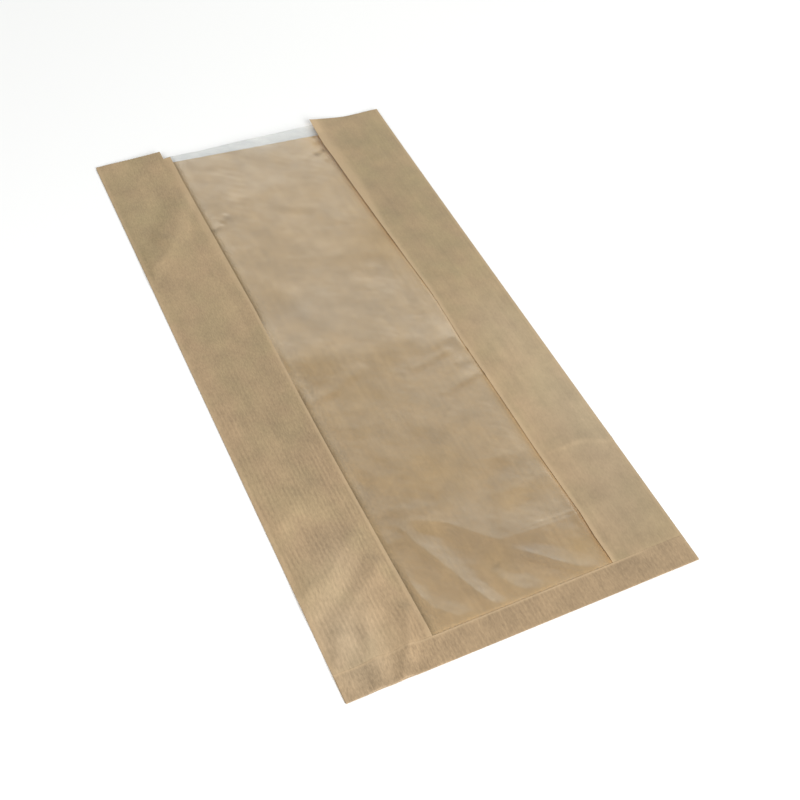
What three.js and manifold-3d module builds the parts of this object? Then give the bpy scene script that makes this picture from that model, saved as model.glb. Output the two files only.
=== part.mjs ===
// An empty bread bag lying flat with its window up: one folded sheet of thin kraft paper, and a clear
// film window down the front. Millimetres, +X across the bag, +Y toward its mouth, +Z up from the table.
// The origin is under the middle of the bag. Places on the bag are measured from its bottom left corner.
import * as THREE from 'three';
import { mergeVertices } from 'three/addons/utils/BufferGeometryUtils.js';
import Module from 'manifold-3d';

// Outline of the flat bag
const WIDTH = 180; // side fold to side fold
const LENGTH = 355; // bottom fold to the mouth edge of the front
const HEM = 13.4; // height of the bottom flap, folded up and glued over the front
const BACK_MOUTH = { left: 347.7, right: 342.1 }; // the back is cut shorter than the front, a little askew

// Window opening between the two front panels. It runs slightly askew down the bag.
const WINDOW_LEFT = { foot: 47.3, mouth: 42.2 };
const WINDOW_RIGHT = { foot: 141.2, mouth: 133.6 };
const NOTCH = { width: 4, depth: 7 }; // step cut out of the left panel's inner mouth corner

// Window film, glued under the panels' inner edges and under the bottom flap
const FILM_MARGIN = 5; // glued edge, hidden under each panel
const FILM_FOOT = 4; // bottom end of the film, from the bottom fold
const FILM_MOUTH = { left: 348.8, right: 350.3 };
const FILM_WAVE = { height: 0.12, length: 47 }; // soft ripples across the film

// Walls, and the spaces between sheets that lie on each other
const PAPER = 0.3;
const FILM = 0.3;
const GAP = 0.3;
const CAVITY = 0.6; // clear height inside, between the back and the film
const GLUE_BITE = 0.02; // how far the flap is sunk into the panels it is glued to

// How far the front stands up at the mouth, and how that dies away down the bag
const MOUTH_LIFT = { left: 1.0, right: 2.35 }; // at the two inner corners of the panels
const LIFT_REACH = 45;
const RIGHT_CURL = 24; // width of the right panel that curls up with its inner corner

// How finely the sheets are cut
const PANEL_STEPS = 6;
const FOLD_STEPS = 6;
const FILM_STEPS = 12;
const BODY_STATIONS = 12;
const MOUTH_STATIONS = 8;
const MOUTH_SHARE = 0.28; // share of the length that the mouth's stations cover
const MOUTH_CROWDING = 1.6; // how they crowd toward the edge

const BACK_Z = PAPER / 2;
const FILM_Z = PAPER + CAVITY + FILM / 2;
const PANEL_Z = FILM_Z + FILM / 2 + GAP + PAPER / 2;
const FLAP_Z = PANEL_Z + PAPER - GLUE_BITE;
const SIDE_RADIUS = (PANEL_Z - BACK_Z) / 2; // middle of the paper round a side fold
const HEM_RADIUS = (FLAP_Z - BACK_Z) / 2; // middle of the paper round the bottom fold
const TUBE_FOOT = HEM_RADIUS + PAPER; // where the panels end inside the bottom fold

const lerp = THREE.MathUtils.lerp;
const along = (edge, y) => lerp(edge.foot, edge.mouth, (y - HEM) / (LENGTH - HEM));
const across = (edge, x) => lerp(edge.left, edge.right, x / WIDTH);

// Height that the front gains near the mouth: both panels rise toward the window, and the film
// is stretched between their inner edges.
function lift(x, y) {
  const left = along(WINDOW_LEFT, y);
  const right = along(WINDOW_RIGHT, y);
  const fade = Math.exp(-(LENGTH - y) / LIFT_REACH);
  if (x <= left) return fade * MOUTH_LIFT.left * (x / left) ** 2;
  if (x >= right) return fade * MOUTH_LIFT.right * Math.max(0, 1 - (x - right) / RIGHT_CURL) ** 2;
  return fade * lerp(MOUTH_LIFT.left, MOUTH_LIFT.right, (x - left) / (right - left));
}

// Positions from 0 at the foot to 1 at the mouth, closer together where the mouth lifts.
const stations = [];
for (let i = 0; i < BODY_STATIONS; i++) stations.push(((1 - MOUTH_SHARE) * i) / BODY_STATIONS);
for (let i = MOUTH_STATIONS; i >= 0; i--) {
  stations.push(1 - MOUTH_SHARE * (i / MOUTH_STATIONS) ** MOUTH_CROWDING);
}

// A closed sheet of the given wall round the surface through a grid of middle points. The sheet's
// outer side is to the left of a walk along a row that looks up the columns.
function sheet(middle, wall) {
  const rows = middle.length;
  const columns = middle[0].length;
  const position = [];
  const normalAt = (i, j) => {
    const up = middle[Math.min(i + 1, rows - 1)][j].clone().sub(middle[Math.max(i - 1, 0)][j]);
    const on = middle[i][Math.min(j + 1, columns - 1)].clone().sub(middle[i][Math.max(j - 1, 0)]);
    return up.cross(on).normalize();
  };
  for (const side of [wall / 2, -wall / 2]) {
    for (let i = 0; i < rows; i++) {
      for (let j = 0; j < columns; j++) {
        position.push(...middle[i][j].clone().addScaledVector(normalAt(i, j), side));
      }
    }
  }
  const inner = rows * columns;
  const at = (i, j) => i * columns + j;
  const index = [];
  for (let i = 0; i < rows - 1; i++) {
    for (let j = 0; j < columns - 1; j++) {
      const [a, b, c, d] = [at(i, j), at(i + 1, j), at(i + 1, j + 1), at(i, j + 1)];
      index.push(a, b, c, a, c, d);
      index.push(a + inner, c + inner, b + inner, a + inner, d + inner, c + inner);
    }
  }
  const rim = (p, q) => index.push(q, p, p + inner, q, p + inner, q + inner);
  for (let i = 0; i < rows - 1; i++) {
    rim(at(i, 0), at(i + 1, 0));
    rim(at(i + 1, columns - 1), at(i, columns - 1));
  }
  for (let j = 0; j < columns - 1; j++) {
    rim(at(rows - 1, j), at(rows - 1, j + 1));
    rim(at(0, j + 1), at(0, j));
  }
  const geometry = new THREE.BufferGeometry();
  geometry.setAttribute('position', new THREE.Float32BufferAttribute(position, 3));
  geometry.setIndex(index);
  return geometry.translate(-WIDTH / 2, -LENGTH / 2, 0);
}

// The folded tube, walked from the left panel's inner edge round the left side fold, along the back,
// and round the right side fold to the right panel's inner edge. It ends inside the bottom fold.
function tube() {
  const foldLine = SIDE_RADIUS + PAPER / 2;
  const notchFoot = LENGTH - NOTCH.depth;
  const notchShare = (notchFoot - TUBE_FOOT) / (LENGTH - TUBE_FOOT);
  const step = 0.0005;
  const rows = [...stations, notchShare - step, notchShare + step].sort((a, b) => a - b);
  return rows.map((share) => {
    const row = [];
    const y = lerp(TUBE_FOOT, LENGTH, share);
    const backY = (x) => lerp(TUBE_FOOT, across(BACK_MOUTH, x), share);
    const leftEdge = along(WINDOW_LEFT, y) - (y > notchFoot ? NOTCH.width : 0);
    for (let j = 0; j < PANEL_STEPS; j++) {
      const x = lerp(leftEdge, foldLine, j / PANEL_STEPS);
      row.push(new THREE.Vector3(x, y, PANEL_Z + lift(x, y)));
    }
    // The cut steps back from the front to the back across each fold.
    const fold = (x, side, from) => {
      for (let k = 0; k <= FOLD_STEPS; k++) {
        const turn = from + (Math.PI * k) / FOLD_STEPS;
        const down = side < 0 ? k / FOLD_STEPS : 1 - k / FOLD_STEPS;
        row.push(new THREE.Vector3(
          x + side * SIDE_RADIUS * Math.abs(Math.sin(turn)),
          lerp(y, backY(x), down),
          BACK_Z + SIDE_RADIUS + SIDE_RADIUS * Math.cos(turn),
        ));
      }
    };
    fold(foldLine, -1, 0);
    fold(WIDTH - foldLine, 1, Math.PI);
    for (let j = 1; j <= PANEL_STEPS; j++) {
      const x = lerp(WIDTH - foldLine, along(WINDOW_RIGHT, y), j / PANEL_STEPS);
      row.push(new THREE.Vector3(x, y, PANEL_Z + lift(x, y)));
    }
    return row;
  });
}

// The bottom flap: the back sheet turned round the bottom fold and laid up over the front.
function flap() {
  const turnY = HEM_RADIUS + PAPER / 2;
  const backLeg = 3;
  const inset = 0.3;
  const path = [[backLeg, BACK_Z]];
  for (let k = 0; k <= FOLD_STEPS; k++) {
    const turn = (Math.PI * k) / FOLD_STEPS;
    path.push([turnY - HEM_RADIUS * Math.sin(turn), BACK_Z + HEM_RADIUS * (1 - Math.cos(turn))]);
  }
  path.push([HEM, FLAP_Z]);
  return [inset, WIDTH - inset].map((x) => path.map(([y, z]) => new THREE.Vector3(x, y, z)));
}

// The window film, from under the left panel's inner edge to under the right panel's.
function film() {
  return stations.map((share) => {
    const row = [];
    for (let j = 0; j <= FILM_STEPS; j++) {
      const t = j / FILM_STEPS;
      const y = lerp(FILM_FOOT, lerp(FILM_MOUTH.right, FILM_MOUTH.left, t), share);
      const left = along(WINDOW_LEFT, y) - FILM_MARGIN;
      const right = along(WINDOW_RIGHT, y) + FILM_MARGIN;
      const x = lerp(right, left, t);
      const slack = Math.sin(Math.PI * t) ** 2;
      const wave = FILM_WAVE.height * slack * Math.sin((2 * Math.PI * (y - x / 3)) / FILM_WAVE.length);
      row.push(new THREE.Vector3(x, y, FILM_Z + lift(x, y) + wave));
    }
    return row;
  });
}

// Joins two closed geometries that overlap into one closed geometry.
const wasm = await Module();
wasm.setup();
function join(...geometries) {
  const solids = geometries.map((geometry) => {
    const merged = mergeVertices(geometry);
    return new wasm.Manifold(new wasm.Mesh({
      numProp: 3,
      vertProperties: merged.attributes.position.array,
      triVerts: Uint32Array.from(merged.index.array),
    }));
  });
  const mesh = solids.reduce((whole, solid) => whole.add(solid)).getMesh();
  const geometry = new THREE.BufferGeometry();
  geometry.setAttribute('position', new THREE.BufferAttribute(mesh.vertProperties, 3));
  geometry.setIndex(new THREE.BufferAttribute(mesh.triVerts, 1));
  return geometry;
}

const kraft = new THREE.MeshStandardMaterial({ color: 0xb79a74, roughness: 0.82, metalness: 0 });
const clearFilm = new THREE.MeshStandardMaterial({
  color: 0xe9e8e4, roughness: 0.15, metalness: 0, transparent: true, opacity: 0.3,
});

const paperMesh = new THREE.Mesh(join(sheet(tube(), PAPER), sheet(flap(), PAPER)), kraft);
paperMesh.name = 'kraft_paper';
const filmMesh = new THREE.Mesh(sheet(film(), FILM), clearFilm);
filmMesh.name = 'window_film';

const bag = new THREE.Group();
bag.add(paperMesh, filmMesh);

export default bag;
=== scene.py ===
import math

import bpy
import numpy as np
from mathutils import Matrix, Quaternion, Vector


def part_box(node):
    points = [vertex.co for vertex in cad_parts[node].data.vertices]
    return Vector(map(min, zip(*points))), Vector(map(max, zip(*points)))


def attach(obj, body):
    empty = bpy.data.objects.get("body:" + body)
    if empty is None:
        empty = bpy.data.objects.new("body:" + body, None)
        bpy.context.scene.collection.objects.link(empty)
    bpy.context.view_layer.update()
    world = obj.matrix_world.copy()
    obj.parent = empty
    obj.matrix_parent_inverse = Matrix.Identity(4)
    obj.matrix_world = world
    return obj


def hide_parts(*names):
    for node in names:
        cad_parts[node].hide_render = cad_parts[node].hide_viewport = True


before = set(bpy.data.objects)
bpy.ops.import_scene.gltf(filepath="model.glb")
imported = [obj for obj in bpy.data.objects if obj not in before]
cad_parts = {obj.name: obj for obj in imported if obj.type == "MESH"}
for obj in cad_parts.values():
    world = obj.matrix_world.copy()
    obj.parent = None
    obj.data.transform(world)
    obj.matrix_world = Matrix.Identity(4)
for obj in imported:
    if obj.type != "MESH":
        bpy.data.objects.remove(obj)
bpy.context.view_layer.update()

# The camera stands in front of the bag's lower left corner and looks down its length, slightly rolled.
# It is placed by the spot on the table that it looks at, how far off it is, and three angles.
scene = bpy.context.scene
scene.view_settings.view_transform = "Standard"
HEADING, DOWN, ROLL = math.radians(33.270), math.radians(50.436), math.radians(9.594)
LOOKS_AT = Vector((0.00064, -0.04139, 0.0))
DISTANCE, LENS, SENSOR_WIDTH = 0.55442, 49.733, 36
camera = bpy.data.objects.new("camera", bpy.data.cameras.new("camera"))
camera.data.lens, camera.data.sensor_width = LENS, SENSOR_WIDTH
toward_camera = Vector((
    -math.sin(HEADING) * math.cos(DOWN),
    -math.cos(HEADING) * math.cos(DOWN),
    math.sin(DOWN),
))
camera.location = LOOKS_AT + toward_camera * DISTANCE
camera.rotation_mode = "QUATERNION"
camera.rotation_quaternion = (-toward_camera).to_track_quat("-Z", "Y") @ Quaternion((0, 0, 1), ROLL)
scene.collection.objects.link(camera)
scene.camera = camera


# The folded sheet of thin kraft paper: two front panels, a fold down each side, the back, and the bottom
# flap turned up and glued over the front. It is measured in millimetres from the bag's bottom left corner
# as it lies, and its solid gives the width and the length.
MM = 0.001
paper_low, paper_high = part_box("kraft_paper")
WIDTH, LENGTH = (paper_high.x - paper_low.x) / MM, (paper_high.y - paper_low.y) / MM
CORNER = np.array((paper_low.x, paper_low.y, 0.0)) / MM
PAPER = 0.09
FOLD = 0.28  # radius that the paper turns through at the side folds and the bottom
HEM = 13.4  # height of the bottom flap
HEM_LOW, HEM_RISE = 0.2, 1.1  # its edge starts a little lower at the left side and rises toward the right one
BACK_MOUTH = (347.7, 342.1)  # where the back is cut, at its left and right side
NOTCH_WIDTH, NOTCH_DEPTH = 4.0, 7.0  # step cut out of the left panel's inner mouth corner
LEFT, RIGHT = 0, 1
WINDOW = ((47.3, 42.2), (141.2, 133.6))  # inner edge of each panel, at the flap and at the mouth

# How far those two cuts stray from straight, by the place up the bag
SWAY = (
    ((13, -0.6), (54, -0.7), (102, -1.0), (138, -0.75), (165, -0.5), (200, 0.4), (220, 0.75), (246, 0.55),
     (268, 0.45), (300, 0.25), (325, -0.1), (355, 0.0)),
    ((13, -0.6), (30, -0.7), (44, 0.2), (80, -0.1), (126, 0.7), (162, 0.9), (190, 2.4), (202, 2.5),
     (222, 1.9), (258, 1.1), (294, 0.3), (318, -0.2), (332, -0.9), (345, -0.5), (355, 0.0)),
)

# Heights of the sheets' middles above the table, and what is added to them or taken off
BACK_Z, BACK_UNEVEN = 0.06, 0.035
FRONT_Z, FRONT_PUFF = 0.30, 0.30  # of the front at its sides, and how much more it has between them
PANEL_OVER_FILM = 0.12  # from the front's height up to a panel
FLAP_CLEAR, FLAP_EDGE_DIP = 0.045, 0.03  # clear height between panels and flap, and how much less at its edge
FLAP_SAG = 0.25  # how far it dips over the window
CORNER_LIFT, SIDE_LIFT = (2.15, 3.4), (0.15, 0.95)  # rise at the mouth of each panel's inner and outer corner
MOUTH_SAG = 0.15  # how far the film sags between the inner corners
LIFT_REACH = 42  # how far down the bag that rise dies away


def ease(low, high, value):
    """0 up to low, 1 from high on, and smooth between."""
    t = np.clip((value - low) / (high - low), 0, 1)
    return t * t * (3 - 2 * t)


def between(value, starts, full, fades, ends):
    """1 from full to fades, 0 outside starts and ends, and smooth between."""
    return ease(starts, full, value) * (1 - ease(fades, ends, value))


def nearness(distance, reach):
    """1 at no distance, and fading softly over the reach."""
    return np.exp(-(distance / reach) ** 2)


def ripple(x, y, length, seed, longer=1.0):
    """Soft random unevenness of about the given wavelength, which is longer down the bag."""
    draw = np.random.default_rng(seed)
    total = np.zeros(np.broadcast(x, y).shape)
    waves = 14
    turns, phases = draw.uniform(0, 2 * np.pi, waves), draw.uniform(0, 2 * np.pi, waves)
    for turn, phase, size in zip(turns, phases, draw.uniform(0.7, 1.5, waves)):
        k = 2 * np.pi / length * size
        total = total + np.cos(k * (np.cos(turn) * x + np.sin(turn) * y / longer) + phase)
    return total / math.sqrt(waves)


def fold_line(x, y, start, end, left, right, height):
    """A crease from start to end: it falls to nothing over a width on its left and on its right, and its
    height, like both widths, may change from the start to the end."""
    (x0, y0), (x1, y1) = start, end
    length = math.hypot(x1 - x0, y1 - y0)
    ux, uy = (x1 - x0) / length, (y1 - y0) / length
    t = ((x - x0) * ux + (y - y0) * uy) / length
    across = (x - x0) * uy - (y - y0) * ux
    share = np.clip(t, 0, 1)
    on_left, on_right, tall = (a + (b - a) * share for a, b in (left, right, height))
    tent = np.clip(1 - np.abs(across) / np.where(across < 0, on_left, on_right), 0, None)
    rounded = tent * tent * (3 - 2 * tent)
    return tall * (tent * 0.8 + rounded * 0.2) * between(t, -0.12, 0.1, 0.9, 1.12)


def spots(x, y, patches):
    """Sums of soft spots: each has its place, its half width and half height, and one or more amounts."""
    sums = 0
    for at_x, at_y, wide, tall, *amounts in patches:
        near = np.exp(-((x - at_x) / wide) ** 2 - ((y - at_y) / tall) ** 2)
        sums = sums + np.multiply.outer(amounts, near)
    return sums


def runs(*stretches):
    """Places along stretches that follow each other. Each has its start, its end and its number of steps,
    and the last end is left out."""
    return np.concatenate([np.linspace(*each, endpoint=False) for each in stretches])


def window_edge(side, y):
    """Where the left or the right panel's inner edge runs."""
    foot, mouth = WINDOW[side]
    places, strays = zip(*SWAY[side])
    return foot + (mouth - foot) * (y - HEM) / (LENGTH - HEM) + np.interp(y, places, strays)


def back_cut(x):
    """Where the back ends at the mouth."""
    return BACK_MOUTH[LEFT] + (BACK_MOUTH[RIGHT] - BACK_MOUTH[LEFT]) * x / WIDTH


def hem_skew(x):
    """How much higher than straight the flap's edge runs."""
    return HEM_RISE * x / WIDTH - HEM_LOW


def mouth_lift(x, y):
    """How far the front stands up near the mouth: the panels rise to their inner corners, and the right
    one curls, with its outer corner a little up."""
    left, right = window_edge(LEFT, y), window_edge(RIGHT, y)
    gained = CORNER_LIFT[LEFT] - SIDE_LIFT[LEFT]
    on_left = SIDE_LIFT[LEFT] + gained * np.clip(x / left, 0, 1) ** 1.6
    share = (x - right) / (WIDTH - right)
    curl = CORNER_LIFT[RIGHT] * np.clip(1 - share / 0.52, 0, 1) ** 1.5
    on_right = curl + SIDE_LIFT[RIGHT] * np.clip((share - 0.55) / 0.45, 0, 1) ** 1.3
    t = np.clip((x - left) / (right - left), 0, 1)
    over_window = CORNER_LIFT[LEFT] + (CORNER_LIFT[RIGHT] - CORNER_LIFT[LEFT]) * t
    over_window = over_window - MOUTH_SAG * np.sin(np.pi * t)
    lift = np.where(x < left, on_left, np.where(x > right, on_right, over_window))
    return lift * np.exp(-(LENGTH - y) / LIFT_REACH)


# Bends in the panels: start, end, widths on the left and right at both ends, heights at both ends.
PANEL_BENDS = (
    # the wave across the upper left panel
    ((-4, 256), (22, 279), (15, 15), (6, 6), (1.8, 2.1)),
    ((22, 279), (39, 316), (15, 10), (6, 5), (2.1, 0.9)),
    # waves that run up to the right across the lower left panel
    ((-4, 43.5), (36, 70), (16, 19), (9, 7), (3.3, 1.8)),
    ((8, 30), (26, 42), (8, 8), (9, 9), (0.7, 1.3)),
    ((26, 42), (41, 56), (8, 7), (9, 7), (1.3, 1.3)),
    ((29, -3), (41, 30), (8, 8), (5, 6), (3.2, 2.2)),
    ((-3, 5), (9, 30), (6, 6), (7, 7), (2.3, 1.6)),
    ((14, -4), (25, 35), (6, 7), (6, 7), (2.4, 1.7)),
    ((4, 84), (30, 108), (12, 12), (9, 9), (1.1, 0.6)),
    # the crease across the right panel, and its small bends
    ((145, 80.5), (160, 79.3), (8, 9), (1.5, 1.7), (0.32, 0.52)),
    ((160, 79.3), (181, 76.6), (9, 10), (1.7, 2.0), (0.52, 0.95)),
    ((159, 10), (165, 28), (3, 4), (2, 3), (0.6, 0.4)),
    ((154, 325), (163, 308), (5, 6), (6, 6), (0.5, 0.6)),
    ((148, 217), (159, 203), (5, 6), (6, 6), (0.5, 0.5)),
)


def front(x, y):
    """Height of the front where the film and the panels meet. It lies low along the right panel's edge and
    where the flap presses on it."""
    pressed = 0.35 + 0.65 * ease(6, 34, y)
    from_side = ease(0, 9, x) * ease(0, 9, WIDTH - x)
    at_right_edge = nearness(x - window_edge(RIGHT, y), 6)
    puff = FRONT_PUFF * (1 - 0.95 * at_right_edge) * from_side * pressed
    uneven = 0.10 * ripple(x, y, 52, 3, 1.4) + 0.025 * ripple(x, y, 15, 4, 1.3)
    height = FRONT_Z - 0.11 * at_right_edge + puff + from_side * pressed * uneven * (1 - 0.8 * at_right_edge)
    beside_window = ease(0, 5, np.abs(x - WIDTH / 2) - 44)
    free = beside_window * ease(-3, 7, x) * ease(-3, 7, WIDTH - x) * (0.7 + 0.3 * ease(4, 16, y))
    sway_x, sway_y = x + 1.1 * ripple(x, y, 26, 9), y + 1.1 * ripple(x, y, 23, 10)
    for bend in PANEL_BENDS:
        height = height + fold_line(sway_x, sway_y, *bend) * free
    return height + mouth_lift(x, y)


def stands_off(y, side):
    """How far a panel's inner edge stands off the film along the window. It lies close for a stretch
    in the middle, and down at the flap."""
    low, high = ((163, 206), (169, 188))[side]
    close = between(y, low - 8, low + 4, high - 4, high + 14)
    amount = (0.42, 0.12)[side] + (0.10, 0.03)[side] * np.sin(y / (13, 17)[side]) + 0.05 * np.sin(y / 5.3)
    if side == RIGHT:
        amount = amount + 0.25 * between(y, 12, 18, 30, 48)
        amount = amount + 0.4 * nearness(y - 154, 1.3) + 0.4 * nearness(y - 136, 1.3)
    return amount * (1 - 0.85 * close) * ease(13.8, 18.0, y)


def panel(x, y, side):
    """Height of the middle of a front panel. Under the flap it lies a little lower."""
    inward = np.abs(x - window_edge(side, y))
    tucked = (0.10, 0.04)[side] * (1 - ease(HEM - 3.5, HEM - 0.5, y))
    return front(x, y) + PANEL_OVER_FILM - tucked + stands_off(y, side) * nearness(inward, 2.4)


def back(x, y):
    """Height of the middle of the back, which lies on the table all but its slight unevenness."""
    from_side = ease(0, 14, x) * ease(0, 14, WIDTH - x) * ease(2, 20, y)
    uneven = BACK_UNEVEN * (1.8 + ripple(x, y, 46, 11, 1.2)) + 0.01 * ripple(x, y, 12, 12)
    return BACK_Z + from_side * uneven


def flap_height(x, y):
    """Height of the middle of the flap, which lies on the panels and bridges the window, where it dips a
    little toward the film."""
    over_window = ease(-1, 3, x - window_edge(LEFT, y)) * ease(0, 9, window_edge(RIGHT, y) - x)
    on_panels = front(x, y) + PANEL_OVER_FILM + PAPER + FLAP_CLEAR
    return on_panels - FLAP_EDGE_DIP * ease(HEM - 2, HEM, y) - FLAP_SAG * over_window


def closed_sheet(name, middle, wall, present, marks):
    """A mesh of one thin sheet with both faces and all its cut edges, made round a grid of middle points.
    present says which squares of the grid are there. marks are values for the material at each point, for
    the sheet's outer and inner face."""
    rows, columns = middle.shape[:2]
    normal = np.cross(np.gradient(middle, axis=0), np.gradient(middle, axis=1))
    length = np.linalg.norm(normal, axis=2, keepdims=True)
    normal /= np.where(length > 0, length, 1)  # there is none at unused points that lie on each other
    outer, inner = middle + normal * (wall / 2), middle - normal * (wall / 2)
    points = np.concatenate((outer.reshape(-1, 3), inner.reshape(-1, 3)))
    count = rows * columns
    number = np.arange(count).reshape(rows, columns)
    a, b = number[:-1, :-1][present], number[1:, :-1][present]
    c, d = number[1:, 1:][present], number[:-1, 1:][present]
    quads = [np.stack((a, b, c, d), 1), np.stack((a, d, c, b), 1) + count]
    padded = np.pad(present, 1)
    for beyond, p, q in (
        (padded[1:-1, :-2], number[:-1, :-1], number[1:, :-1]),
        (padded[1:-1, 2:], number[1:, 1:], number[:-1, 1:]),
        (padded[2:, 1:-1], number[1:, :-1], number[1:, 1:]),
        (padded[:-2, 1:-1], number[:-1, 1:], number[:-1, :-1]),
    ):
        rim = present & ~beyond
        p, q = p[rim], q[rim]
        quads.append(np.stack((q, p, p + count, q + count), 1))
    quads = np.concatenate(quads)
    used = np.unique(quads)
    renumber = np.full(2 * count, -1)
    renumber[used] = np.arange(len(used))
    mesh = bpy.data.meshes.new(name)
    mesh.from_pydata(((points[used] + CORNER) * MM).tolist(), [], renumber[quads].tolist())
    for mark, values in marks.items():
        both = np.concatenate((values[0].reshape(-1), values[1].reshape(-1)))[used]
        mesh.attributes.new(mark, "FLOAT", "POINT").data.foreach_set("value", both.astype(np.float32))
    mesh.shade_smooth()
    mesh.set_sharp_from_angle(angle=math.radians(50))
    mesh.update()
    piece = bpy.data.objects.new(name, mesh)
    scene.collection.objects.link(piece)
    return piece


# One walk across the sheet: left panel from its inner edge, left fold, back, right fold, right panel. The
# columns crowd where the flap lies on a crest or on a panel's edge.
PANEL_COLUMNS, FOLD_COLUMNS = 46, 8
turns = np.linspace(0, np.pi, FOLD_COLUMNS + 1)
back_x = runs((FOLD, 31.8, 19), (31.8, 36.6, 7), (36.6, 53, 22), (53, 127, 20), (127, 146, 26),
              (146, WIDTH - FOLD, 15))[1:]
first_back = PANEL_COLUMNS + FOLD_COLUMNS
last_back = first_back + len(back_x) + 1
columns = last_back + FOLD_COLUMNS + PANEL_COLUMNS + 1

# One walk up the sheet: the flap from its free edge down to the bottom fold, round it, and up the bag.
flap_y = np.concatenate((np.linspace(HEM, HEM - 3, 7), np.linspace(HEM - 4, 2 * FOLD, 9)))
hem_turns = np.linspace(0, np.pi, 8)[1:-1]
TUBE_FOOT = 2.2 * FOLD
notch_share = (LENGTH - NOTCH_DEPTH - TUBE_FOOT) / (LENGTH - TUBE_FOOT)
NOTCH_STEP = 0.0004  # share of the length over which the notch's foot steps in
tube_share = np.sort(np.concatenate((
    runs((0, 0.034, 9), (0.034, 0.043, 7), (0.043, 0.2, 36)),
    runs((0.2, 0.24, 16), (0.24, 0.955, 130), (0.955, 1, 16)),
    (notch_share - NOTCH_STEP, notch_share + NOTCH_STEP, 1.0),
)))


def tube_row(share):
    """The walk across the folded sheet at a share of its length. Each face has its own cut at the mouth,
    and the folds slant from one to the other."""
    y = TUBE_FOOT + (LENGTH - TUBE_FOOT) * share

    def on_back(x):
        return TUBE_FOOT + (back_cut(x) - TUBE_FOOT) * share

    row = np.zeros((columns, 3))
    left_edge = window_edge(LEFT, y) - (NOTCH_WIDTH if y > LENGTH - NOTCH_DEPTH else 0)
    x = left_edge + (FOLD - left_edge) * np.linspace(0, 1, PANEL_COLUMNS, endpoint=False)
    row[:PANEL_COLUMNS] = np.stack((x, np.full_like(x, y), panel(x, y, LEFT)), 1)
    for side, start, fold_x, down in ((LEFT, PANEL_COLUMNS, FOLD, turns),
                                      (RIGHT, last_back, WIDTH - FOLD, np.pi - turns)):
        high, low = panel(np.array(fold_x), y, side), back(np.array(fold_x), y)
        outward = (-FOLD, FOLD)[side] * np.sin(down)
        slant = (on_back(fold_x) - y) * (1 - np.cos(down)) / 2
        height = (high + low) / 2 + (high - low) / 2 * np.cos(down)
        row[start:start + FOLD_COLUMNS + 1] = np.stack((fold_x + outward, y + slant, height), 1)
    back_y = on_back(back_x)
    row[first_back + 1:last_back] = np.stack((back_x, back_y, back(back_x, back_y)), 1)
    x = (WIDTH - FOLD) + (window_edge(RIGHT, y) - (WIDTH - FOLD)) * np.linspace(0, 1, PANEL_COLUMNS + 1)
    row[last_back + FOLD_COLUMNS:] = np.stack((x, np.full_like(x, y), panel(x, y, RIGHT)), 1)
    return row


def flap_rows():
    """The flap and the bottom fold. They have only the back's columns, so the others are left at nought."""
    x = np.concatenate(([FOLD], back_x, [WIDTH - FOLD]))
    rows = []
    for y in flap_y:
        askew = y + hem_skew(x) * y / HEM
        rows.append(np.stack((x, askew, flap_height(x, askew)), 1))
    high, low = rows[-1][:, 2], back(x, np.array(2 * FOLD))
    for turn in hem_turns:
        y = 2 * FOLD - 2 * FOLD * np.sin(turn) + PAPER / 2
        rows.append(np.stack((x, np.full_like(x, y), (high + low) / 2 + (high - low) / 2 * np.cos(turn)), 1))
    full = np.zeros((len(rows), columns, 3))
    full[:, first_back:last_back + 1] = rows
    return full


flap_grid = flap_rows()
tube_grid = np.array([tube_row(share) for share in tube_share])
# The cut at the mouth is finely toothed, as the knife leaves it.
TOOTH = 0.22
tube_grid[-1, ::2, 1] -= TOOTH
paper_grid = np.concatenate((flap_grid, tube_grid))
# The grid has no paper beside the flap. Its points there take their places from the panels' foot.
hem_rows = len(flap_grid)
paper_grid[:hem_rows, :first_back] = tube_grid[0, :first_back]
paper_grid[:hem_rows, last_back + 1:] = tube_grid[0, last_back + 1:]
present = np.ones((len(paper_grid) - 1, columns - 1), bool)
present[:hem_rows, :first_back] = False
present[:hem_rows, last_back:] = False

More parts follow.
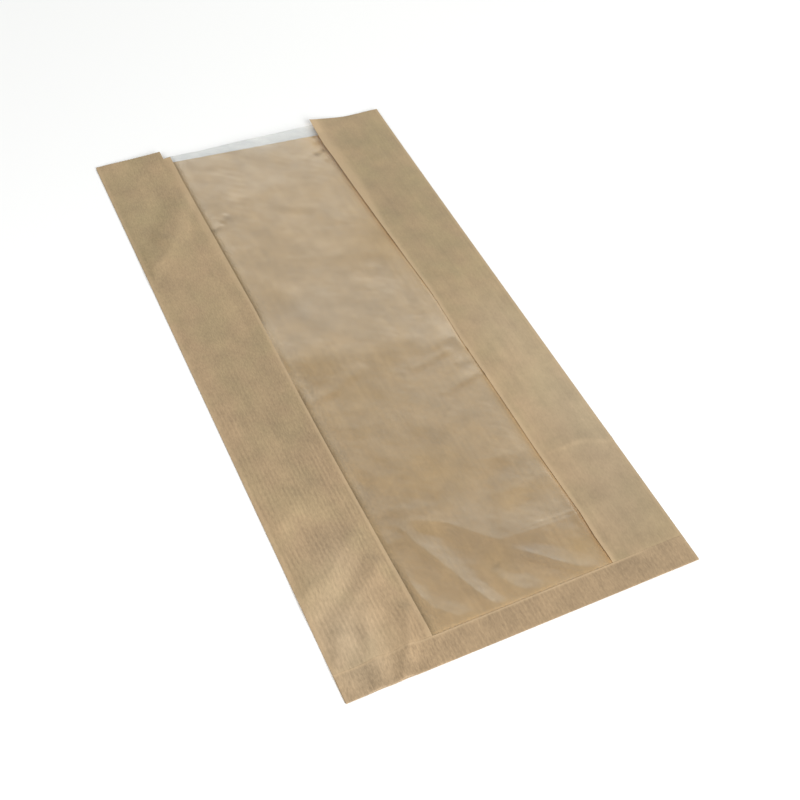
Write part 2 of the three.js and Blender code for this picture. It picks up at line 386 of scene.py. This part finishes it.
# The paper's tone is uneven, from its make and from painted light and shade of its waves, creases and the
# lamps' falloff: place, half width, half height, how much lighter, how much pinker.
PATCHES = (
    (12, 28, 40, 42, 0.14, 0.3),
    (168, 30, 30, 34, -0.05, 0.1),
    (168, 130, 34, 55, 0.12, 0.1),
    (22, 160, 34, 60, -0.06, 0.0),
    (21, 75, 10, 7, -0.07, 0.5),
    (6, 92, 12, 18, 0.04, -0.1),
    (32, 103, 12, 14, 0.0, 0.3),
    (6, 212, 9, 16, 0.01, 0.1),
    (8, 300, 22, 40, -0.01, -0.3),
    (30, 262, 14, 22, 0.0, 0.4),
    (166, 300, 24, 60, -0.02, -0.3),
    (155, 212, 8, 10, -0.05, -0.3),
    (158, 70, 26, 16, -0.02, 0.4),
    (162, 72, 18, 5, -0.025, 0.2),
    (36, 30, 9, 14, 0.0, 0.6),
    (36, 150, 9, 50, -0.06, 0.2),
    (36, 55, 9, 40, -0.05, 0.0),
    (4, 150, 8, 75, 0.04, 0.4),
    (150, 258, 12, 40, -0.03, 0.0),
    (170, 270, 14, 40, -0.04, 0.0),
    (150, 322, 20, 12, -0.03, 0.0),
    (5, 278, 9, 22, -0.06, -0.2),
    (6, 350, 10, 7, 0.08, 0.4),
    (174, 140, 8, 14, 0.05, -0.2),
    (23, 24, 6, 12, 0.05, 0.0),
    (12, 80, 14, 24, 0.02, 0.3),
    (32, 77, 9, 6, 0.04, 0.5),
    (14, 50, 14, 6, 0.04, -0.1),
    (20, 42, 8, 24, 0.05, 0.0),
    (36, 62, 6, 8, -0.05, 0.1),
    (34, 40, 5, 7, -0.04, 0.0),
    (148, 270, 8, 36, -0.03, 0.0),
    (147, 96, 8, 32, 0.05, 0.2),
    (163, 112, 8, 16, -0.03, -0.2),
    (176, 72, 8, 12, 0.05, 0.0),
    (152, 264, 14, 38, -0.03, 0.0),
    (5, 268, 9, 12, -0.04, 0.0),
    (35, 4, 6, 4, -0.06, 0.0),
    # the flap
    (7, 17, 6, 5, -0.06, 0.0),
    (40, 6, 5, 5, -0.04, 0.0),
    (5, 8, 4, 4, 0.06, 0.0),
    (21, 8, 4, 4, 0.07, 0.0),
    (35, 7, 3.5, 5, 0.06, 0.0),
    (12, 6, 4, 4, -0.05, 0.1),
    (28, 7, 2.5, 4, -0.05, 0.1),
    (66, 8, 7, 5, 0.03, 0.2),
    (92, 7, 8, 6, 0.03, 0.6),
    (120, 7, 7, 6, -0.03, 0.2),
    (146, 8, 6, 5, -0.03, 0.1),
    (170, 8, 6, 5, -0.04, -0.2),
)

# Where it is greyer, partly from its make and partly as a painted sheen: place, half width, half height, how
# much.
GREY_AND_SHEEN = (
    (174, 95, 24, 55, 0.6),
    (12, 24, 16, 26, 0.55),
    (24, 62, 12, 16, 0.25),
    (158, 36, 22, 26, 0.25),
    (166, 166, 18, 24, 0.3),
)

# Painted light and shade on the inside of the back, as it shows through the film, and a few dark specks:
# place, half width, half height, how much lighter.
INNER_PATCHES = (
    (88, 100, 16, 14, -0.06),
    (96, 108, 8, 5, -0.04),
    (56, 170, 12, 7, -0.06),
    (95, 166, 13, 6, -0.05),
    (71, 133, 13, 8, -0.05),
    (76, 156, 7, 4, -0.04),
    (120, 240, 12, 9, -0.05),
    (70, 300, 9, 12, 0.06),
    (133, 145, 3, 2, -0.10),
    (118, 152, 9, 1.8, -0.05),
    (66, 60, 7, 4, -0.05),
    (52, 24, 6, 12, 0.04),
    (132, 337, 7, 12, 0.30),
    (115, 100, 9, 12, 0.06),
    (92, 18, 70, 9, 0.08),
    (52, 80, 8, 10, -0.06),
    (90, 33, 1.1, 1.1, -0.25),
    (56, 30, 8, 20, 0.06),
    (90, 38, 20, 8, -0.05),
    (56, 291, 1.1, 2.4, -0.30),
    (46, 283, 4, 1.2, -0.25),
    (132, 329, 1.8, 1.5, -0.45),
    (127, 326, 2.4, 1.2, -0.35),
)

paper_x, paper_y = paper_grid[..., 0], paper_grid[..., 1]
nothing, all_over = np.zeros_like(paper_x), np.ones_like(paper_x)
column_number = np.arange(columns)[None, :] * all_over
is_left = column_number < PANEL_COLUMNS
is_panel = is_left | (column_number > last_back + FOLD_COLUMNS)
on_flap = np.zeros_like(paper_x)
on_flap[:hem_rows] = 1
past_flap = paper_y - (HEM + hem_skew(paper_x))
# a painted highlight along the flap's free edge
flap_edge_highlight = on_flap * ease(-1.3, -0.5, past_flap) * (1 - ease(150, 168, paper_x))

# Painted highlights: paler strips along the panels' inner edges, where they are glued to the film and lift
# toward the light, and painted light shining through the single layer where the front runs past the back's
# cut
from_edge = np.abs(paper_x - np.where(is_left, window_edge(LEFT, paper_y), window_edge(RIGHT, paper_y)))
strip_width = np.where(is_left, 1.5 + 2.0 * ease(215, 260, paper_y), 2.0 + 4.6 * ease(245, 300, paper_y))
edge_highlight = is_panel * np.exp(-(from_edge / strip_width) ** 4)
past_back = is_panel * ease(-2.5, 1.5, paper_y - back_cut(paper_x)) * (1 - ease(3, 5.5, from_edge))

cast, hue = spots(paper_x, paper_y, PATCHES)
(grey,) = spots(paper_x, paper_y, GREY_AND_SHEEN)
(inner_cast,) = spots(paper_x, paper_y, INNER_PATCHES)
# Painted light on the panels just past the flap's edge, over its shadow line, and painted shade on the flap,
# where two layers let less light through.
cast = cast + 0.10 * nearness(past_flap - 0.35, 0.6) * is_panel - 0.07 * on_flap
hue = hue + 0.9 * on_flap

# Painted shade darkens the inside along the left panel's edge, and painted light brightens it along the right
# one's and along the flap's edge. A browner strip of painted shade runs beside the right edge.
from_left, from_right = paper_x - window_edge(LEFT, paper_y), window_edge(RIGHT, paper_y) - paper_x
close_left = between(paper_y, 156, 166, 200, 214)
left_shade = 0.30 - 0.28 * close_left - 0.10 * between(paper_y, 56, 64, 78, 88)
left_shade = left_shade - 0.12 * ease(270, 300, paper_y)
right_light = 0.22 + 0.2 * ease(145, 160, paper_y) - 0.1 * ease(200, 220, paper_y)
right_light = right_light + 0.12 * ease(240, 300, paper_y)
inner_cast = (
    inner_cast
    - left_shade * nearness(np.clip(from_left, 0, None), 2.1)
    + 0.22 * close_left * nearness(from_left, 1.3)
    + right_light * nearness(from_right + 0.2, 1.1)
    + (0.12 + 0.1 * between(paper_x, 54, 60, 100, 112)) * nearness(past_flap - 0.2, 1.6)
    + 0.22 * nearness(past_flap - 0.3, 0.7)
)
lower_brown_shade = (1 - 0.4 * ease(52, 64, paper_y)) * (1 - ease(120, 150, paper_y))
upper_brown_shade = ease(208, 250, paper_y) * (0.9 - 0.35 * ease(280, 310, paper_y))
brown_shade_width = 2.0 + 1.2 * ease(300, 325, paper_y)
brown = (lower_brown_shade + upper_brown_shade) * nearness(np.clip(from_right, 0, None), brown_shade_width)

# Marks for the outer and the inner face. "cast" is how much lighter, painted light and shade included, and
# "hue" is how much pinker outside and how much browner, in painted shade, inside.
paper = closed_sheet("bag_paper", paper_grid, PAPER, present, {
    "edge_highlight": (edge_highlight, edge_highlight),
    "backlit_layer": (past_back, past_back),
    "flap": (on_flap, on_flap),
    "flap_edge_highlight": (flap_edge_highlight, flap_edge_highlight),
    "inside": (nothing, all_over),
    "cast": (cast, inner_cast),
    "hue": (hue, brown),
    "grey": (grey, nothing),
})


class Wire:
    """A value in a material. Sums and products with it add Math nodes."""

    def __init__(self, finish, socket):
        self.finish, self.socket = finish, socket

    def maths(self, operation, *values):
        return self.finish.node("ShaderNodeMath", {"operation": operation}, dict(enumerate(values)))

    def __add__(self, other):
        return self.maths("ADD", self, other)

    def __sub__(self, other):
        return self.maths("SUBTRACT", self, other)

    def __rsub__(self, other):
        return self.maths("SUBTRACT", other, self)

    def __mul__(self, other):
        return self.maths("MULTIPLY", self, other)

    def __pow__(self, other):
        return self.maths("POWER", self, other)

    __radd__, __rmul__ = __add__, __mul__


class Finish:
    """A material under way. node() adds one node and returns one of its outputs."""

    def __init__(self, name):
        self.material = bpy.data.materials.new(name)
        self.material.use_nodes = True
        self.tree = self.material.node_tree
        self.tree.nodes.clear()

    def node(self, kind, settings=None, inputs=None, output=0):
        made = self.tree.nodes.new(kind)
        for setting, value in (settings or {}).items():
            setattr(made, setting, value)
        for socket, value in (inputs or {}).items():
            if isinstance(value, Wire):
                self.tree.links.new(value.socket, made.inputs[socket])
            else:
                made.inputs[socket].default_value = value
        return Wire(self, made.outputs[output])

    def mark(self, name):
        return self.node("ShaderNodeAttribute", {"attribute_name": name}, output="Fac")

    def blend(self, share, one, two, how="MIX"):
        return self.node("ShaderNodeMix", {"data_type": "RGBA", "blend_type": how, "clamp_factor": True},
                         {0: share, 6: one, 7: two}, output=2)

    def noise(self, place, scale, detail=2.0, roughness=0.5):
        return self.node("ShaderNodeTexNoise", {"noise_dimensions": "3D"},
                         {"Vector": place, "Scale": scale, "Detail": detail, "Roughness": roughness})

    def stretched(self, place, x, y, z=1.0):
        return self.node("ShaderNodeVectorMath", {"operation": "MULTIPLY"}, {0: place, 1: (x, y, z)})

    def place_in_mm(self):
        return self.stretched(self.node("ShaderNodeTexCoord", output="Object"), 1 / MM, 1 / MM, 1 / MM)

    def ramp(self, value, low, high):
        return self.node("ShaderNodeMapRange", {"interpolation_type": "SMOOTHSTEP"},
                         {"Value": value, "From Min": low, "From Max": high})

    def show(self, shader):
        out = self.tree.nodes.new("ShaderNodeOutputMaterial")
        self.tree.links.new(shader.socket, out.inputs["Surface"])
        return self.material


def srgb(red, green, blue):
    """A colour as seen, 0 to 255, as the light it sends back."""
    return tuple(((c / 255 + 0.055) / 1.055) ** 2.4 for c in (red, green, blue)) + (1.0,)


# Ribbed kraft: fine ribs down the bag about 2 mm apart, plainest on the left panel's lower part, a cloudy
# make with olive and pink patches, streaks and short fibres. Painted highlights make the glued edge strips,
# the folded rims and the flap's edge a little paler, and painted light makes the single layer past the back's
# cut paler.
RIB_PITCH = 2.13
OLIVE, PINK = srgb(162, 143, 108.5), srgb(167, 142, 110.5)
GREYISH, LIT_PALE = srgb(163, 146, 121), srgb(192, 166, 131)
# The inside is lighter than the outside, painted light that makes up for what the film takes away, and
# browner in the painted shade beside the right edge.
INNER, INNER_SHADED = (0.705, 0.475, 0.236, 1), (0.61, 0.372, 0.168, 1)
kraft = Finish("ribbed_kraft")
place = kraft.place_in_mm()
across = kraft.node("ShaderNodeSeparateXYZ", None, {0: place}, output=0)
along = kraft.node("ShaderNodeSeparateXYZ", None, {0: place}, output=1)
inside, flap = kraft.mark("inside"), kraft.mark("flap")

# ribs, and where they show: their light and dark stripes in the colour are painted shading, strongest on the
# left panel's lower part
sway = kraft.noise(kraft.stretched(place, 0.05, 0.012), 1.0, 1)
wobble = kraft.noise(kraft.stretched(place, 0.22, 0.07), 1.0, 1)
rib_turn = across * (2 * math.pi / RIB_PITCH) + sway * 5 + wobble * 2.2
rib = kraft.node("ShaderNodeMath", {"operation": "SINE"}, {0: rib_turn})
patchy = kraft.ramp(kraft.noise(kraft.stretched(place, 0.16, 0.09), 1.0, 2), 0.32, 0.68)
on_left = kraft.ramp(across, -30.0, -42.0)
ribbed = (kraft.ramp(along, 60.0, -110.0) * on_left * 1.1 + 0.07) * (1 - flap) + flap * 0.6
ribbed = ribbed * (0.2 + patchy * 1.5) * (1 - inside)

# the make of the paper
streak = kraft.noise(kraft.stretched(place, 0.55, 0.016), 1.0, 2) - 0.5
hem_streak = kraft.noise(kraft.stretched(place, 0.42, 0.07), 1.0, 2) - 0.5
clouds = kraft.noise(place, 0.075, 3, 0.55) - 0.5
tint = kraft.noise(kraft.stretched(place, 1, 0.8, 1), 0.055, 2, 0.5)
grain = kraft.noise(kraft.stretched(place, 1.6, 0.5, 1), 1.1, 3, 0.6) - 0.5
crumple = kraft.noise(kraft.stretched(place, 0.42, 0.30), 1.0, 2, 0.5)

colour = kraft.blend(kraft.ramp(tint, 0.3, 0.7) * 0.6 + 0.22 + kraft.mark("hue"), OLIVE, PINK)
colour = kraft.blend(kraft.mark("grey"), colour, GREYISH)
colour = kraft.blend(inside, colour, kraft.blend(kraft.mark("hue"), INNER, INNER_SHADED))
tone = clouds * 0.48 + grain * 0.34 + rib * ribbed * 0.05 + streak * 0.18
tone = tone + flap * (hem_streak * 0.18 + grain * 0.25) + grain * on_left * 0.3 + kraft.mark("cast") + 1.0
tone = kraft.node("ShaderNodeCombineColor", None, {0: tone, 1: tone, 2: tone})
colour = kraft.blend(1.0, colour, tone, "MULTIPLY")
from_middle = kraft.node("ShaderNodeMath", {"operation": "ABSOLUTE"}, {0: across})
# Painted highlights along the side folds, the glued edge strips and the flap's edge, and painted light
# through the single layer past the back's cut.
side_rim_highlight = kraft.ramp(from_middle, WIDTH / 2 - 2.2, WIDTH / 2 - 0.8)
paler = kraft.mark("edge_highlight") * 0.55 + kraft.mark("backlit_layer") * 0.35 + side_rim_highlight * 0.35
paler = paler + kraft.mark("flap_edge_highlight") * 0.6
colour = kraft.blend(paler * (1 - inside), colour, LIT_PALE)
relief = (grain * 0.07 + clouds * 0.17 + crumple * 0.19) * (1 + flap * 1.3 - inside * 0.7)
relief = rib * ribbed * 0.016 + relief
bump = kraft.node("ShaderNodeBump", None, {"Strength": 0.8, "Distance": 0.001, "Height": relief})
paper.data.materials.append(kraft.show(kraft.node("ShaderNodeBsdfPrincipled", None, {
    "Base Color": colour, "Roughness": 0.60 + clouds * 0.2, "Normal": bump, "Specular IOR Level": 0.35,
})))
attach(paper, "root")
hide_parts("kraft_paper")


# The window is one strip of thin clear film, glued under the panels' inner edges and under the flap.
# It is stretched loosely, so it lies in soft crinkles, with sharp creases fanning out above the flap.
FILM = 0.035
FILM_MARGIN, FILM_FOOT = 5.0, 4.0  # glued edge under each panel, and its end above the bottom fold
FILM_MOUTH = (348.8, 350.3)  # where it is cut, at its left and right side
FILM_SLACK = 0.16  # how far it hangs between the panels
GLUE_GAP, TUCK_GAP = 0.02, 0.08  # clear under a sheet that it is glued to, and how much more further in
BACK_GAP = 0.1  # least clear height over the back
LIP = 14  # length at the mouth where it is free to lie closer

# Creases: start, end, widths on the left and right at both ends, heights at both ends. A side that
# falls toward the mouth mirrors the light beyond it, and one that falls toward the foot shows bare brown.
CREASES = (
    ((108, 45.6), (140, 45.2), (1.7, 1.7), (1.0, 1.0), (0.04, 0.12)),
    # folds across, between the fan and the middle
    ((111, 88), (140, 84), (5, 6), (6, 7), (0.10, 0.24)),
    ((108, 67.5), (139, 68.5), (10, 11), (10, 10), (0.42, 0.52)),
    ((52, 80), (76, 73), (7, 6), (5, 5), (0.16, 0.14)),
    ((113, 160), (137, 165), (6, 5), (3, 3), (0.14, 0.22)),
    ((105, 151.5), (129, 157.0), (7, 7), (3.4, 3.4), (0.26, 0.44)),
    ((112, 131.5), (139, 138), (7, 7), (3.4, 3.0), (0.22, 0.50)),
    ((128, 147.5), (137, 148), (5, 5), (3.5, 3.5), (0.12, 0.16)),
    ((46, 162), (62, 161), (4, 4), (3, 3), (0.06, 0.06)),
    ((44, 149.5), (64, 153), (6, 6), (4, 4), (0.26, 0.32)),
    ((64, 154.5), (83, 161.5), (7, 6), (4.6, 4.6), (0.30, 0.30)),
    ((62, 138), (80, 137), (7, 7), (8, 8), (0.16, 0.14)),
    ((60, 128), (82, 125), (8, 8), (7, 7), (0.14, 0.14)),
    ((88, 118), (112, 112), (8, 8), (7, 7), (0.16, 0.18)),
    # the upper part
    ((43, 281), (51, 285), (3.4, 3.4), (2.0, 2.0), (0.40, 0.28)),
    ((53, 287), (57, 292), (4.0, 4.0), (2.2, 2.2), (0.32, 0.42)),
    ((134, 330), (125, 325), (2.0, 2.0), (2.6, 2.6), (0.60, 0.55)),
    ((134, 337), (128, 334), (2.0, 2.0), (2.6, 2.6), (0.60, 0.40)),
    ((134, 322), (129, 317), (2.0, 2.0), (2.6, 2.6), (0.60, 0.40)),
    ((134, 343), (130, 340), (2.0, 2.0), (2.4, 2.4), (0.50, 0.40)),
    ((52, 338), (64, 333), (3, 3), (3, 3), (0.06, 0.06)),
    ((45, 263), (60, 262), (4, 4), (4, 4), (0.10, 0.07)),
    ((80, 293), (106, 281), (8, 8), (6, 6), (0.16, 0.14)),
    ((62, 300), (96, 309), (6, 6), (7, 7), (0.12, 0.12)),
    ((56, 226), (88, 214), (8, 8), (9, 9), (0.12, 0.10)),
    ((84, 246), (134, 234), (8, 8), (6, 5), (0.08, 0.14)),
)

# Creases that turn: how blunt the crest is, and the places along it, each with the width on its left, the
# width on its right and the height.
RIDGES = (
    # the fan above the flap
    (0.1, ((44, 61.5, 9, 7, 0.35), (56, 62, 10, 5, 0.45), (63.5, 69, 12, 5, 0.55),
           (79, 61.5, 15, 8, 0.75), (87, 53, 18, 12, 0.95), (97.5, 43.8, 24, 15, 1.10),
           (118, 43.2, 28, 18, 1.10), (142, 43, 26, 18, 1.05))),
    (0.6, ((59, 61, 10, 3, 0.42), (63.5, 50, 9.5, 3, 0.58), (72, 30, 8, 3, 0.66), (82, 10, 5.5, 3, 0.70))),
    (0.5, ((99, 38.5, 5, 3, 0.30), (106, 33, 6.5, 3, 0.70), (117, 23.5, 9, 3, 0.88), (132, 12, 8, 3, 0.58))),
    (0.7, ((88, 27, 6, 3, 0.30), (92, 20, 11, 3, 0.68), (100, 12, 11, 3, 0.60))),
    (0.3, ((49, 41, 6, 2, 0.25), (50, 32, 6.5, 2, 0.68), (52.5, 25, 8.5, 2, 0.72), (63, 15, 8.5, 2, 0.58))),
    # the middle, where the film changes from hanging loose to being drawn tight
    (2.2, ((43, 177, 18, 15, 0.35), (55, 178, 18, 16, 0.68), (70, 174.5, 17, 17, 0.72),
           (90, 171, 15, 16, 0.42), (110, 171, 14, 12, 0.34), (118, 165, 14, 7, 0.42),
           (140, 162, 14, 7, 0.42))),
)

# Painted reflection: where the film mirrors more or less than elsewhere: place, half width, half height, how
# much.
PAINTED_REFLECTION_PATCHES = (
    (131, 332, 7, 12, -0.35),
    (133, 246, 9, 58, -0.48),
    (132, 305, 7, 22, -0.15),
    (118, 242, 16, 15, -0.42),
    (88, 268, 50, 34, -0.24),
    (90, 200, 50, 13, 0.15),
    (125, 172, 10, 9, 0.2),
    (97, 166, 14, 8, -0.3),
    (72, 144, 18, 20, -0.38),
    (88, 92, 18, 15, -0.55),
    (92, 40, 60, 26, 0.45),
    (60, 171, 18, 8, -0.45),
    (115, 61, 14, 7, -0.55),
    (70, 62, 8, 5, -0.5),
    (78, 20, 5, 10, 0.3),
    (107, 33, 5, 4, 0.4),
    (90, 34, 9, 9, -0.7),
    (131, 27, 8, 6, -1.0),
    (114, 25, 5, 5, 0.55),
    (128, 47.5, 14, 2.5, -0.15),
    (108, 297, 25, 14, -0.2),
    (60, 228, 9, 12, -0.3),
    (93, 341, 12, 7, 0.5),
    (70, 212, 13, 9, 0.45),
    (71, 181, 12, 6, -0.2),
    (94, 159, 10, 6, -0.28),
    (52, 240, 8, 10, -0.16),
    (131, 349.5, 7, 3.5, 0.5),
    (107, 34, 6, 5, 0.3),
    (52, 82, 8, 10, 0.2),
    (88, 345, 40, 7, 0.25),
)


def ridge(x, y, blunt, path):
    """The height of a crease that turns, from its RIDGES row."""
    nearest = np.full(np.broadcast(x, y).shape, np.inf)
    height = np.zeros(nearest.shape)
    for (x0, y0, *start), (x1, y1, *end) in zip(path, path[1:]):
        along_x, along_y = x1 - x0, y1 - y0
        share = np.clip(((x - x0) * along_x + (y - y0) * along_y) / (along_x ** 2 + along_y ** 2), 0, 1)
        off_x, off_y = x - x0 - share * along_x, y - y0 - share * along_y
        away = np.hypot(np.hypot(off_x, off_y), blunt) - blunt * 0.6
        left, right, tall = (a + (b - a) * share for a, b in zip(start, end))
        span = np.where(off_x * along_y < off_y * along_x, left, right)
        height = np.where(away < nearest, tall * np.clip(1 - away / span, 0, None) ** 1.4, height)
        nearest = np.minimum(nearest, away)
    return height


def film_height(x, y):
    """Height of the middle of the film: it hangs between the panels in creases, passes under the flap, and
    is glued fast a little way in from the panels' edges."""
    left, right = window_edge(LEFT, y), window_edge(RIGHT, y)
    from_left, from_right = x - left, right - x
    slack = ease(0.3, 7, from_left) * ease(0.3, 7, from_right) * ease(HEM - 6, HEM + 4, y)
    uneven = 0.10 * ripple(x, y, 34, 21, 1.1) + 0.032 * ripple(x, y, 17, 22, 0.7)
    uneven = uneven + 0.015 * ripple(x, y, 7, 23, 0.8)
    hung = front(np.clip(x, left, right), y) + slack * (uneven - FILM_SLACK)
    creases = sum(fold_line(x, y, *crease) for crease in CREASES) + sum(ridge(x, y, *row) for row in RIDGES)
    in_window = ease(0, 2.5, from_left) * ease(0, 2.5, from_right)
    hung = hung + creases * in_window * ease(HEM - 1, HEM + 5, y)
    hung = np.where(y < LENGTH - LIP, np.maximum(hung, back(x, y) + PAPER / 2 + BACK_GAP), hung)
    between_middles = PAPER / 2 + FILM / 2 + GLUE_GAP
    under_flap = flap_height(x, np.minimum(y, HEM)) - between_middles
    hung = hung + (np.minimum(hung, under_flap) - hung) * (1 - ease(HEM, HEM + 2.5, y))
    for side, inward in ((LEFT, -from_left), (RIGHT, -from_right)):
        tucked = TUCK_GAP * ease(0.5, 3, inward) * ease(HEM, HEM + 6, y)
        under = panel(x, y, side) - between_middles - tucked
        glued = under + (np.minimum(hung, under) - under) * (1 - ease(1.2, 3.2, inward))
        hung = np.where(inward > -0.01, glued, hung)
    return hung


# The rows are closest together in the fan, and close up to the middle.
FAN_END, MIDDLE_END = 0.17, 0.56  # shares of the length, from the foot
across_share, up_share = np.meshgrid(
    np.linspace(1, 0, 131),
    np.append(runs((0, FAN_END, 104), (FAN_END, MIDDLE_END, 142), (MIDDLE_END, 1, 133)), 1),
)
film_end = FILM_MOUTH[LEFT] + (FILM_MOUTH[RIGHT] - FILM_MOUTH[LEFT]) * across_share
film_y = FILM_FOOT + (film_end - FILM_FOOT) * up_share
film_left, film_right = window_edge(LEFT, film_y), window_edge(RIGHT, film_y)
film_x = film_left - FILM_MARGIN + (film_right - film_left + 2 * FILM_MARGIN) * across_share
film_grid = np.stack((film_x, film_y, film_height(film_x, film_y)), 2)

# Painted reflection, how much it mirrors: less beside the panels' edges that stand open and shade it, a
# painted shade, and more or less elsewhere
open_left = 1 - between(film_y, 158, 166, 204, 214)
open_right = (1 - between(film_y, 166, 174, 192, 206)) * (0.9 - 0.5 * ease(130, 150, film_y))
painted_reflection = 1 - 0.9 * open_left * nearness(film_x - film_left, 2.2)
painted_reflection = painted_reflection - open_right * nearness(film_right - film_x, 2.6)
painted_reflection = np.clip(painted_reflection + spots(film_x, film_y, PAINTED_REFLECTION_PATCHES)[0], 0, None)
whole = np.ones((len(film_grid) - 1, len(film_grid[0]) - 1), bool)
window_film = closed_sheet("window_film_sheet", film_grid, FILM, whole, {"painted_reflection": (painted_reflection, painted_reflection)})

# Clear film: it lets the inside show, is faintly hazy, and mirrors little from above and all at a low angle.
CLEAR_TINT, HAZE_TINT = (0.856, 0.86, 0.86, 1), (0.92, 0.93, 0.94, 1)
MIRRORS_FROM_ABOVE = 0.05
film = Finish("clear_film")
film_place = film.place_in_mm()
facing = film.node("ShaderNodeLayerWeight", None, {"Blend": 0.5}, output="Facing")
mirror = (MIRRORS_FROM_ABOVE + facing ** 5 * (1 - MIRRORS_FROM_ABOVE)) * film.mark("painted_reflection")
cloud = film.noise(film_place, 0.12, 3, 0.55)
crinkle = film.noise(film_place, 0.22, 1, 0.5)
film_bump = film.node("ShaderNodeBump", None, {"Strength": 0.5, "Distance": 0.001, "Height": crinkle * 0.02})
shine = film.node("ShaderNodeBsdfPrincipled", None, {
    "Base Color": (1, 1, 1, 1), "Metallic": 1.0, "Roughness": 0.16 + cloud * 0.10, "Normal": film_bump,
})
clear = film.node("ShaderNodeBsdfTransparent", None, {"Color": CLEAR_TINT})
haze = film.node("ShaderNodeBsdfDiffuse", None, {"Color": HAZE_TINT})
hazed = film.node("ShaderNodeMixShader", None, {0: cloud * 0.016, 1: clear, 2: haze})
mirroring = film.node("ShaderNodeMixShader", None, {0: mirror, 1: hazed, 2: shine})
window_film.data.materials.append(film.show(mirroring))
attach(window_film, "root")
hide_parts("window_film")


# The table is a plain, matt, nearly white top that reaches past the edges of the view. It lies a hair under
# the bag.
TABLE, UNDER_BAG = 3.0, -0.00005
table = bpy.data.objects.new("table_top", bpy.data.meshes.new("table_top"))
corners = [(x * TABLE, y * TABLE, UNDER_BAG) for x, y in ((-1, -1), (1, -1), (1, 1), (-1, 1))]
table.data.from_pydata(corners, [], [(0, 1, 2, 3)])
scene.collection.objects.link(table)
top = Finish("pale_top")
table.data.materials.append(top.show(top.node("ShaderNodeBsdfPrincipled", None, {
    "Base Color": (0.97, 0.97, 0.97, 1), "Roughness": 0.9, "Specular IOR Level": 0.1,
})))


# Soft studio light: a large soft box in front of the bag and a weaker one to its left. Beyond the mouth are
# a long one and two dimmer ones above it, which the film mirrors. Round all of it is an even pale surround.
def soft_box(name, compass, above, distance, width, height, radiance, colour=(1, 1, 1)):
    """A lamp at a compass angle from +Y toward +X and at an angle above the table, facing the bag."""
    lamp = bpy.data.lights.new(name, "AREA")
    lamp.shape, lamp.size, lamp.size_y, lamp.color = "RECTANGLE", width, height, colour
    lamp.energy = radiance * math.pi * width * height
    box = bpy.data.objects.new(name, lamp)
    compass, above = math.radians(compass), math.radians(above)
    away = Vector((math.sin(compass) * math.cos(above), math.cos(compass) * math.cos(above), math.sin(above)))
    box.location = away * distance
    box.rotation_mode = "QUATERNION"
    box.rotation_quaternion = away.to_track_quat("Z", "Y")
    scene.collection.objects.link(box)


SURROUND = 0.29
soft_box("front_light", 166, 32, 1.7, 1.09, 0.95, 8.6)
soft_box("left_light", 240, 35, 1.8, 1.03, 1.03, 3.4)
soft_box("mouth_light", 37, 30.4, 1.6, 1.8, 0.63, 2.4, (0.99, 0.97, 0.88))
soft_box("step_light", 37, 45.6, 1.6, 2.0, 0.22, 0.92, (0.92, 1.0, 0.98))
soft_box("upper_light", 40, 53.4, 1.6, 2.2, 0.25, 0.45, (0.65, 1.0, 1.2))
scene.world = bpy.data.worlds.new("surround")
scene.world.use_nodes = True
surround = scene.world.node_tree.nodes["Background"]
surround.inputs["Color"].default_value = (1.0, 1.0, 1.0, 1)
surround.inputs["Strength"].default_value = SURROUND
